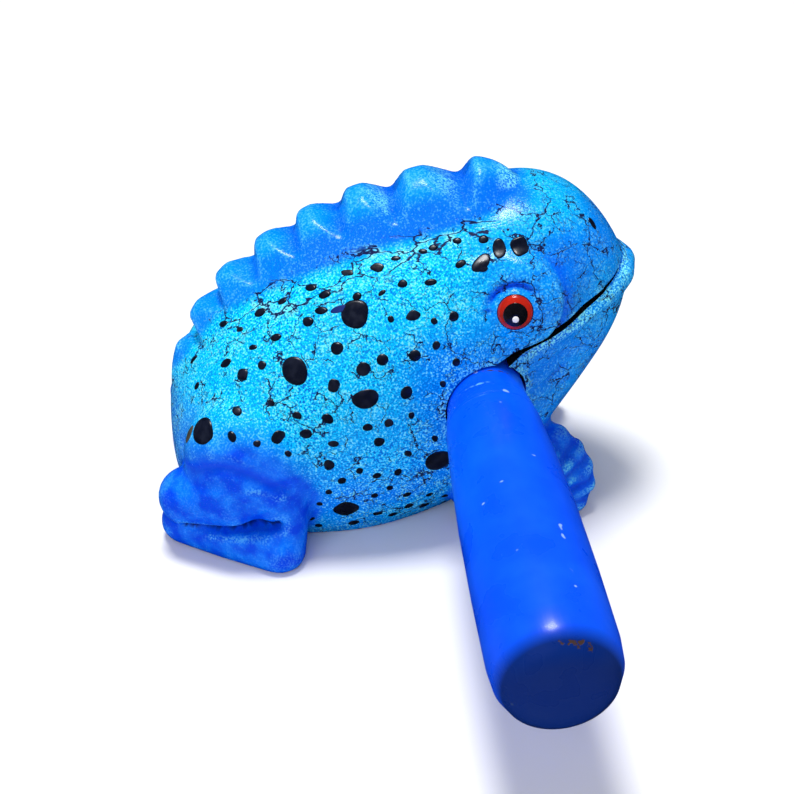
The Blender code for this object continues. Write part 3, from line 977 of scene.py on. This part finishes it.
def striker_paint(settings, groups):
    """Plain gloss blue over turned wood, chipped round the end and rubbed at the rings; painted shade darkens the end
    and painted highlight arcs lie on the rings.
    """
    material, tree, shader = new_material("striker_paint")
    place = object_place(tree)
    grain = use_group(tree, groups["grain"], Vector=place)
    cloud = node(tree, "ShaderNodeTexNoise", {"Vector": place, "Scale": 120.0, "Detail": 3.0}).outputs[0]
    chips, rub = attribute(tree, "chip_zone"), attribute(tree, "ring_rub")
    ragged = node(tree, "ShaderNodeTexNoise", {"Vector": place, "Scale": 700.0, "Detail": 4.0}).outputs[0]
    chipped = ranged(tree, math_node(tree, "MULTIPLY", chips, ragged), 0.50, 0.54)
    rubbed = ranged(tree, math_node(tree, "MULTIPLY", rub, ragged), 0.36, 0.46)
    # Painted highlight: pale arcs on the turned rings.
    painted_ring_highlight = ranged(tree, math_node(tree, "MULTIPLY", attribute(tree, "ring_highlight"), ragged), 0.36, 0.50)
    bare = math_node(tree, "MAXIMUM", chipped, rubbed, clamp=True)
    blue = mixed(tree, ranged(tree, cloud, 0.35, 0.7), rgba(settings.striker_colour), rgba(settings.striker_light))
    speck = node(tree, "ShaderNodeTexNoise", {"Vector": place, "Scale": 420.0, "Detail": 1.0}).outputs[0]
    dust = ranged(tree, speck, 0.76, 0.80)
    blue = mixed(tree, math_node(tree, "MULTIPLY", dust, 0.7), blue, (0.35, 0.55, 0.8, 1))
    # Painted shade: darker blue over the striker's end.
    blue = mixed(tree, math_node(tree, "MULTIPLY", attribute(tree, "end_shade"), 0.9), blue, rgba(settings.end_shade_colour))
    blue = mixed(tree, math_node(tree, "MULTIPLY", painted_ring_highlight, 0.8), blue, (0.12, 0.42, 1.0, 1))
    colour = mixed(tree, bare, blue, rgba(settings.chip_colour))
    tree.links.new(colour, shader.inputs["Base Color"])
    rough = ranged(tree, cloud, 0.3, 0.7, 0.24, 0.36)
    rough = mixed(tree, bare, rough, (0.7, 0.7, 0.7, 1))
    tree.links.new(rough, shader.inputs["Roughness"])
    shader.inputs["Specular IOR Level"].default_value = 0.2
    shader.inputs["Coat Weight"].default_value = 0.08
    shader.inputs["Coat Roughness"].default_value = 0.12
    relief = math_node(tree, "ADD", math_node(tree, "MULTIPLY", grain.outputs["Height"], 0.25), cloud)
    bump(tree, math_node(tree, "SUBTRACT", relief, bare), 0.4, 0.0002, shader)
    return material


def floor_finish():
    material, tree, shader = new_material("floor")
    shader.inputs["Base Color"].default_value = (0.86, 0.86, 0.86, 1)
    shader.inputs["Roughness"].default_value = 0.9
    return material


def shared_groups():
    if "Crackle" not in bpy.data.node_groups:
        crackle_group()
        speckle_group()
        grain_group()
    names = {"crackle": "Crackle", "speckle": "Speckle", "grain": "Wood Grain"}
    return {key: bpy.data.node_groups[name] for key, name in names.items()}


# ---------------------------------------------------------------- pieces


def build_body(settings):
    groups = shared_groups()
    paint = body_paint(settings, groups)
    hind = [ball("thigh", *THIGH)] + limb("shank", SHANK) + limb("foot", FOOT) + limb("instep", INSTEP)
    fore = [ball("eye_mound", *EYE_MOUND), ball("eyeball", *EYEBALL)]
    fore += [ball("shoulder", *SHOULDER), ball("hand", *HAND)] + limb("forearm", FOREARM)
    fore += limb("lower_lip", LOWER_LIP)
    for chain in TOES:
        fore += limb("toe", chain)
    left = [mirrored(piece, LEFT_HIND_FORWARD) for piece in hind]
    left += [mirrored(piece) for piece in fore]
    middle = [skin("trunk", trunk_rings()), skin("ridge", ridge_rings())]
    frog = join("frog_carving", middle + hind + fore + left)
    frog.data.materials.clear()
    fuse(frog, 0.8 * MM)
    cut(frog, notch_cutter())
    fuse(frog, settings.skin_grid)
    relax(frog, 0.5, 6)
    carve_strokes(frog)
    relax(frog, 0.4, 2)
    frog.data.materials.clear()
    frog.data.materials.append(paint)
    cut(frog, ground_block(worn_base(settings, groups)))
    cut(frog, drill(BORE_RADIUS, BORE_X, BORE_Z, bore_wood(settings, groups)))
    cut(frog, saw(mouth_paint(settings, groups)))
    paint_masks(frog)
    make_active(frog)
    bpy.ops.object.shade_smooth_by_angle(angle=math.radians(50))
    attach(frog, BODY)
    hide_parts("frog_body")
    return frog


def drop(name, tree, middle, out, long, short, edge, crown, turn=0.0, ragged=0.0, chance=None):
    """A domed drop of enamel laid on the skin round middle, facing out."""
    rings, sides = (5, 28) if long > 1.3 else (2, 16)
    up = Vector((0, 0, 1)) if abs(out.z) < 0.95 else Vector((1, 0, 0))
    across = up.cross(out).normalized()
    upward = out.cross(across)
    deselect()
    bpy.ops.mesh.primitive_circle_add(vertices=sides, radius=1.0, fill_type="TRIFAN")
    piece = bpy.context.object
    piece.name = name
    bpy.ops.object.mode_set(mode="EDIT")
    shape = bmesh.from_edit_mesh(piece.data)
    spokes = [e for e in shape.edges if any(v.co.length < 0.01 for v in e.verts)]
    bmesh.ops.subdivide_edges(shape, edges=spokes, cuts=rings - 1, use_grid_fill=True)
    bmesh.update_edit_mesh(piece.data)
    bpy.ops.mesh.select_all(action="SELECT")
    bpy.ops.mesh.normals_make_consistent(inside=False)
    bpy.ops.object.mode_set(mode="OBJECT")
    waves = [(chance.uniform(0, math.tau), chance.uniform(-1, 1)) for _ in range(3)] if chance else []
    for v in piece.data.vertices:
        share, angle = min(v.co.length, 1.0), math.atan2(v.co.y, v.co.x)
        wobble = 1 + ragged * sum(w * math.sin((k + 2) * angle + p) for k, (p, w) in enumerate(waves))
        u, w = share * math.cos(angle) * long * wobble, share * math.sin(angle) * short * wobble
        u, w = u * math.cos(turn) - w * math.sin(turn), u * math.sin(turn) + w * math.cos(turn)
        start = middle + (across * u + upward * w) * MM
        hit, normal = tree.ray_cast(start + out * 4 * MM, -out)[:2]
        if hit is None:
            hit, normal = tree.find_nearest(start)[:2]
        rise = edge + (crown - edge) * math.sqrt(max(0.0, 1 - share * share))
        v.co = hit + (normal.lerp(out, 0.5)) * rise * MM
    return piece


def skirt(piece, depth):
    """Closes a drop: its rim goes down into the skin and is filled."""
    make_active(piece)
    bpy.ops.object.mode_set(mode="EDIT")
    bpy.ops.mesh.select_all(action="DESELECT")
    bpy.ops.mesh.select_mode(type="EDGE")
    bpy.ops.mesh.select_non_manifold()
    bpy.ops.mesh.extrude_region_move()
    shape = bmesh.from_edit_mesh(piece.data)
    rim = [v for v in shape.verts if v.select]
    for v in rim:
        v.co -= depth * MM * piece_out(piece)
    bmesh.update_edit_mesh(piece.data)
    bpy.ops.mesh.edge_face_add()
    bpy.ops.mesh.select_all(action="SELECT")
    bpy.ops.mesh.normals_make_consistent(inside=False)
    bpy.ops.object.mode_set(mode="OBJECT")
    for face in piece.data.polygons:
        face.use_smooth = len(face.vertices) < 5


def piece_out(piece):
    return Vector(piece["out"])


def add_drop(name, tree, middle, out, long, short, edge, crown, **more):
    piece = drop(name, tree, middle, out, long, short, edge, crown, **more)
    piece["out"] = list(out)
    skirt(piece, edge + 0.35)
    del piece["out"]
    return piece


def side_hit(tree, x, z, side):
    """Where a line across the frog at (x, z) first meets its skin."""
    return tree.ray_cast(Vector((x * MM, side * 0.08, z * MM)), Vector((0, -side, 0)))[:2]


def lay_spots(name, rows, material, tree, chance):
    """One piece of drops on both sides; the left side's are laid a little differently."""
    drops = []
    for side in (-1, 1):
        for x, z, long, short, lean in rows:
            if side > 0:
                x, z = x + chance.uniform(-1.5, 1.5), z + chance.uniform(-1.5, 1.5)
            middle, out = side_hit(tree, x, z, side)
            if middle is None or middle.z < 1.5 * MM:
                continue
            turn = math.radians(lean if side < 0 else 180 - lean)
            ragged = chance.uniform(0.02, 0.09)
            crown = 0.10 + 0.05 * short
            drops.append(
                add_drop("spot", tree, middle, out, long, short, 0.05, crown, turn=turn, ragged=ragged, chance=chance)
            )
    spots = join(name, drops)
    spots.data.materials.clear()
    spots.data.materials.append(material)
    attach(spots, BODY)


def foot_at(x):
    """Height and lean of the ridge's foot at this x."""
    foot_x, foot_z = np.array(RIDGE_FOOT, float).T
    climb = np.diff(foot_z) / np.diff(foot_x)
    lean = math.degrees(math.atan(float(np.interp(x, foot_x[1:], climb))))
    return float(np.interp(x, foot_x, foot_z)), lean


def row_spots(chance):
    """Rows of small spots that follow the foot of the ridge."""
    spots = []
    for drop_below, number in SPOT_ROWS:
        for index in range(number):
            along = (index + chance.uniform(-0.3, 0.3)) / (number - 1)
            x = ROW_FROM + (ROW_TO - ROW_FROM) * along
            height, lean = foot_at(x)
            z = height - drop_below + chance.uniform(-0.9, 0.9)
            long = chance.uniform(0.8, 1.4)
            spots.append((x, z, long, long * chance.uniform(0.5, 0.9), lean + chance.uniform(-20, 20)))
    return spots


def strewn_spots(chance):
    """Spots strewn over shoulder, flank and tail, the big splashes first."""
    lowest_row = max(drop_below for drop_below, _ in SPOT_ROWS)
    haunch_x, _, haunch_z, haunch_radius = SHANK[1]
    spots = []
    for _ in range(STREWN_TRIES):
        if len(spots) == STREWN_BIG + STREWN_SMALL:
            break
        big = len(spots) < STREWN_BIG
        gap = BIG_GAP if big else SMALL_GAP
        x = chance.uniform(STREWN_FROM[0], STREWN_TO[0])
        z = chance.uniform(STREWN_FROM[1], STREWN_TO[1])
        clear = z < foot_at(x)[0] - lowest_row - ROW_GAP
        clear = clear and math.hypot(x - haunch_x, z - haunch_z) > HAUNCH_CLEAR * haunch_radius
        clear = clear and math.hypot(x - BORE_X, z - BORE_Z) > BORE_RADIUS + BORE_GAP
        clear = clear and all(math.hypot(x - a, z - b) > gap + size - 1 for a, b, size, _, _ in spots)
        if clear:
            long = chance.uniform(2.3, 3.0) if big else 0.7 + 0.8 * chance.random() ** 1.5
            spots.append((x, z, long, long * chance.uniform(0.65, 1.0), chance.uniform(0, 180)))
    return spots


def brow_spots(chance):
    """A few splashes in an arc above the eye."""
    spots = []
    for index in range(BROW_SPLASHES):
        turn = math.radians(BROW_TURN + BROW_STEP * index + chance.uniform(-6, 6))
        x, z = EYE_X + BROW_REACH * math.cos(turn), EYE_Z + BROW_REACH * math.sin(turn)
        long = chance.uniform(1.5, 2.4)
        spots.append((x, z, long, long * chance.uniform(0.6, 0.9), chance.uniform(0, 180)))
    return spots


def worn_spot():
    """The spot on the rump that is rubbed down to brown."""
    haunch_x, _, haunch_z, haunch_radius = SHANK[1]
    reach, turn = HAUNCH_CLEAR * haunch_radius, math.radians(WORN_TURN)
    return haunch_x + reach * math.cos(turn), haunch_z + reach * math.sin(turn), *WORN_SIZE, 90.0


def navy_dash():
    """The navy dash in the middle of the lowest row."""
    x = (ROW_FROM + ROW_TO) / 2
    height, lean = foot_at(x)
    return x, height - max(drop_below for drop_below, _ in SPOT_ROWS), *NAVY_SIZE, lean


def build_spots(settings, frog):
    tree = tree_of(frog)
    groups = shared_groups()
    chance = random.Random(11)
    dark = enamel("spot_enamel", settings.spot_colour, (0.012, 0.016, 0.035), groups, 0.26)
    worn = enamel("worn_enamel", (0.07, 0.06, 0.04), (0.03, 0.03, 0.035), groups, 0.4)
    navy = enamel("navy_enamel", (0.005, 0.02, 0.16), (0.01, 0.04, 0.25), groups, 0.3)
    rows = brow_spots(chance) + row_spots(chance) + strewn_spots(chance)
    lay_spots("enamel_spots", rows, dark, tree, chance)
    lay_spots("worn_spots", [worn_spot()], worn, tree, chance)
    lay_spots("navy_spots", [navy_dash()], navy, tree, chance)


def build_eyes(settings, frog):
    tree = tree_of(frog)
    groups = shared_groups()
    size = settings.eye_size / MM / 2
    black = enamel("eye_black", (0.004, 0.004, 0.006), (0.012, 0.012, 0.016), groups, 0.1)
    layers = [
        ("eye_rim", size * 1.05, 0.05, 0.25, black),
        ("eye_red", size, 0.12, 0.75, enamel("eye_red", settings.eye_colour, (0.30, 0.01, 0.006), groups, 0.12)),
        ("eye_pupil", size * 0.76, 0.40, 1.05, black),
        ("eye_glint", size * 0.23, 0.92, 1.14, enamel("eye_white", (0.9, 0.9, 0.9), (0.8, 0.8, 0.82), groups, 0.2)),
    ]
    for (middle, out), label in zip(eye_frames(tree), ("right", "left")):
        for name, radius, edge, crown, material in layers:
            lower = {"eye_pupil": 0.3, "eye_glint": 1.1}.get(name, 0.0)
            centre = middle + Vector((0, 0, -lower * MM))
            piece = add_drop(f"{name}_{label}", tree, centre, out, radius, radius * 1.02, edge, crown)
            piece.data.materials.append(material)
            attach(piece, BODY)


def build_nostrils(settings, frog):
    tree = tree_of(frog)
    material = enamel("nostril_enamel", settings.spot_colour, (0.01, 0.01, 0.02), shared_groups())
    for side, label in ((-1, "right"), (1, "left")):
        middle, out = side_hit(tree, 43.2, 61.7, side)
        piece = add_drop(f"nostril_{label}", tree, middle, out, 1.35, 0.75, 0.04, 0.16, turn=math.radians(80))
        piece.data.materials.append(material)
        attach(piece, BODY)


def build_striker(settings):
    """A half outline of the stick, spun about the bore's axis."""
    x, z = (STRIKER_LOW.x + STRIKER_HIGH.x) / 2, (STRIKER_LOW.z + STRIKER_HIGH.z) / 2
    deselect()
    bpy.ops.mesh.primitive_plane_add(size=MM)
    stick = bpy.context.object
    stick.name = stick.data.name = "striker_stick"
    bpy.ops.object.mode_set(mode="EDIT")
    bpy.ops.mesh.delete(type="VERT")
    shape = bmesh.from_edit_mesh(stick.data)
    outline = fine_profile(STRIKER_PROFILE)
    points = [shape.verts.new((x, along * MM, z + radius * MM)) for along, radius in outline]
    for a, b in zip(points, points[1:]):
        shape.edges.new((a, b))
    bmesh.update_edit_mesh(stick.data)
    bpy.ops.mesh.select_all(action="SELECT")
    bpy.ops.mesh.spin(steps=STRIKER_TURNS, angle=math.tau, center=(x, 0, z), axis=(0, 1, 0))
    bpy.ops.mesh.select_all(action="SELECT")
    bpy.ops.mesh.remove_doubles(threshold=1e-6)
    bpy.ops.mesh.normals_make_consistent(inside=False)
    bpy.ops.object.mode_set(mode="OBJECT")
    make_active(stick)
    bpy.ops.object.shade_smooth_by_angle(angle=math.radians(40))
    points = points_of(stick.data)
    around = np.degrees(np.arctan2(points[:, 2] - z / MM, points[:, 0] - x / MM))
    end = step(-points[:, 1], 99.8, 101.8) * step(points[:, 1], -105.4, -103.6)
    # Painted shade on the end face.
    set_attribute(stick.data, "end_shade", step(-points[:, 1], 99.6, 102.6))
    facing = np.exp(-(((around - 75) / 55) ** 2))
    set_attribute(stick.data, "chip_zone", np.clip(end * facing * 1.05, 0, 1))
    brown = np.exp(-(((points[:, 1] + 24.2) / 0.45) ** 2))
    set_attribute(stick.data, "ring_rub", brown * np.exp(-(((around - 80) / 35) ** 2)))
    # Painted highlight arcs on two rings.
    pale = np.exp(-(((points[:, 1] + 28.6) / 0.5) ** 2)) + 0.9 * np.exp(-(((points[:, 1] + 33.8) / 0.35) ** 2))
    set_attribute(stick.data, "ring_highlight", np.clip(pale, 0, 1) * np.exp(-(((around - 110) / 42) ** 2)))
    stick.data.materials.append(striker_paint(settings, shared_groups()))
    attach(stick, STRIKER_BODY)
    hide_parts("striker")


def fine_profile(profile):
    """The outline, with close points along the turned rings."""
    along, radius = np.array(profile).T
    places = np.union1d(along, np.arange(RINGS_FROM, RINGS_TO, RINGS_STEP))
    return list(zip(places.tolist(), np.interp(places, along, radius).tolist()))


# ---------------------------------------------------------------- stage


def build_stage(settings):
    deselect()
    bpy.ops.mesh.primitive_plane_add(size=8.0, location=(0, 0, -0.0002))
    floor = bpy.context.object
    floor.name = "floor"
    floor.data.materials.append(floor_finish())

    azimuth, elevation, roll = settings.azimuth, settings.elevation, settings.roll
    out = Vector((math.sin(azimuth) * math.cos(elevation), -math.cos(azimuth) * math.cos(elevation), math.sin(elevation)))
    right = Vector((math.cos(azimuth), math.sin(azimuth), 0))
    up = right.cross(-out)
    right, up = right * math.cos(roll) - up * math.sin(roll), right * math.sin(roll) + up * math.cos(roll)
    camera = bpy.data.objects.new("camera", bpy.data.cameras.new("camera"))
    bpy.context.scene.collection.objects.link(camera)
    camera.data.lens = settings.lens
    camera.data.sensor_width = 36.0
    camera.data.clip_start = 0.01
    place = Matrix((right, up, out)).transposed().to_4x4()
    place.translation = Vector((-20.6, -282.4, 209.4)) * MM
    camera.matrix_world = place
    bpy.context.scene.camera = camera

    for name, spot, size, power in (
        ("overhead", (-0.05, 0.10, 0.95), 0.24, 8.0),
        ("front", (-0.45, -0.85, 0.55), 0.8, 4.0),
    ):
        light = bpy.data.objects.new(name, bpy.data.lights.new(name, "AREA"))
        light.data.size = size
        light.data.energy = power
        bpy.context.scene.collection.objects.link(light)
        light.location = spot
        light.visible_glossy = name == "overhead"
        light.rotation_euler = (Vector((0, -0.02, 0.03)) - Vector(spot)).to_track_quat("-Z", "Y").to_euler()

    world = bpy.data.worlds.new("studio")
    world.use_nodes = True
    world.node_tree.nodes["Background"].inputs[0].default_value = (1, 1, 1, 1)
    world.node_tree.nodes["Background"].inputs[1].default_value = 0.45
    world.cycles_visibility.glossy = False
    floor.visible_glossy = False
    bpy.context.scene.world = world
    bpy.context.scene.view_settings.view_transform = "Standard"


# ---------------------------------------------------------------- add-on


def colour_prop(name, description, default):
    return bpy.props.FloatVectorProperty(
        name=name, description=description, default=default, size=3, min=0, max=1, subtype="COLOR"
    )


class FrogRaspSettings(bpy.types.PropertyGroup):
    body_colour: colour_prop("Body", "Blue of the head and the low flank", (0.0, 0.25, 0.95))
    body_pale: colour_prop("Body pale", "Cyan sprayed over the back and flank", (0.0, 0.62, 1.0))
    ridge_colour: colour_prop("Ridge", "Blue of the ridge's sides", (0.0, 0.17, 0.92))
    tip_colour: colour_prop("Teeth", "Blue of the teeth", (0.0, 0.30, 0.95))
    # This deep blue is also laid in creases and grooves as painted shade.
    leg_and_crease_shade_colour: colour_prop("Legs", "Deep blue of legs, feet and creases", (0.0, 0.055, 0.76))
    # This violet is a painted reflection on the rump.
    rump_reflection_colour: colour_prop("Rump", "Violet blue under the tail", (0.06, 0.14, 0.75))
    grain_colour: colour_prop("Grain", "Dark grains in the spray", (0.0, 0.10, 0.60))
    # Besides real pale grains and wear, this pale also paints highlights on facets, edges and flake lips.
    speckle_and_highlight_colour: colour_prop("Speckle", "Pale grains and worn edges", (0.22, 0.85, 1.0))
    # This navy also darkens the hind slit as painted shade.
    crack_and_slit_shade_colour: colour_prop("Cracks", "Navy in the cracks of the paint", (0.002, 0.008, 0.07))
    spot_colour: colour_prop("Spots", "Dark enamel of spots and nostrils", (0.003, 0.005, 0.016))
    eye_colour: colour_prop("Eye", "Red of the eye rings", (0.50, 0.016, 0.006))
    striker_colour: colour_prop("Striker", "Blue of the striker", (0.0, 0.075, 0.90))
    striker_light: colour_prop("Striker light", "Lighter drift on the striker", (0.0, 0.10, 0.96))
    # Painted shade on the striker's end face.
    end_shade_colour: colour_prop("Striker end", "Darker blue of the striker's end", (0.001, 0.012, 0.08))
    chip_colour: colour_prop("Chips", "Dark wood where the striker's paint is gone", (0.05, 0.025, 0.02))
    eye_size: bpy.props.FloatProperty(
        name="Eye size", description="Diameter of the red ring", default=6.7 * MM, unit="LENGTH"
    )
    skin_grid: bpy.props.FloatProperty(
        name="Skin grid", description="Voxel size of the carved skin", default=0.6 * MM, unit="LENGTH"
    )
    azimuth: bpy.props.FloatProperty(
        name="Azimuth", description="Camera's turn from square on the right side", default=math.radians(-5.1), unit="ROTATION"
    )
    elevation: bpy.props.FloatProperty(
        name="Elevation", description="Camera's height angle", default=math.radians(33.9), unit="ROTATION"
    )
    roll: bpy.props.FloatProperty(
        name="Roll", description="Camera's roll", default=math.radians(1.3), unit="ROTATION"
    )
    lens: bpy.props.FloatProperty(name="Lens", description="Focal length", default=72.6, unit="CAMERA")


class FROGRASP_OT_body(bpy.types.Operator):
    """Carve the frog, cut its notches, bore and mouth, and paint it"""

    bl_idname = "frograsp.body"
    bl_label = "Frog body"

    def execute(self, context):
        build_body(context.scene.frog_rasp)
        return {"FINISHED"}


class FROGRASP_OT_spots(bpy.types.Operator):
    """Lay the dark enamel spots on the frog"""

    bl_idname = "frograsp.spots"
    bl_label = "Enamel spots"

    def execute(self, context):
        build_spots(context.scene.frog_rasp, bpy.data.objects["frog_carving"])
        return {"FINISHED"}


class FROGRASP_OT_face(bpy.types.Operator):
    """Lay the layered eyes and the nostrils on the frog"""

    bl_idname = "frograsp.face"
    bl_label = "Eyes and nostrils"

    def execute(self, context):
        build_eyes(context.scene.frog_rasp, bpy.data.objects["frog_carving"])
        build_nostrils(context.scene.frog_rasp, bpy.data.objects["frog_carving"])
        return {"FINISHED"}


class FROGRASP_OT_striker(bpy.types.Operator):
    """Turn the striker and paint it"""

    bl_idname = "frograsp.striker"
    bl_label = "Striker"

    def execute(self, context):
        build_striker(context.scene.frog_rasp)
        return {"FINISHED"}


class FROGRASP_OT_stage(bpy.types.Operator):
    """Set the floor, the lights and the camera"""

    bl_idname = "frograsp.stage"
    bl_label = "Stage"

    def execute(self, context):
        build_stage(context.scene.frog_rasp)
        return {"FINISHED"}


class FROGRASP_PT_panel(bpy.types.Panel):
    """Lists the frog rasp's settings and steps"""

    bl_idname = "FROGRASP_PT_panel"
    bl_label = "Frog Rasp"
    bl_space_type = "VIEW_3D"
    bl_region_type = "UI"
    bl_category = "Frog Rasp"

    def draw(self, context):
        settings = context.scene.frog_rasp
        for name in FrogRaspSettings.__annotations__:
            self.layout.prop(settings, name)
        for operator in OPERATORS:
            self.layout.operator(operator.bl_idname)


OPERATORS = (
    FROGRASP_OT_body,
    FROGRASP_OT_spots,
    FROGRASP_OT_face,
    FROGRASP_OT_striker,
    FROGRASP_OT_stage,
)
CLASSES = (FrogRaspSettings, *OPERATORS, FROGRASP_PT_panel)


def register():
    for cls in CLASSES:
        bpy.utils.register_class(cls)
    bpy.types.Scene.frog_rasp = bpy.props.PointerProperty(type=FrogRaspSettings)


def unregister():
    del bpy.types.Scene.frog_rasp
    for cls in reversed(CLASSES):
        bpy.utils.unregister_class(cls)


def main():
    register()
    bpy.ops.frograsp.body()
    bpy.ops.frograsp.spots()
    bpy.ops.frograsp.face()
    bpy.ops.frograsp.striker()
    bpy.ops.frograsp.stage()


if __name__ == "__main__":
    main()
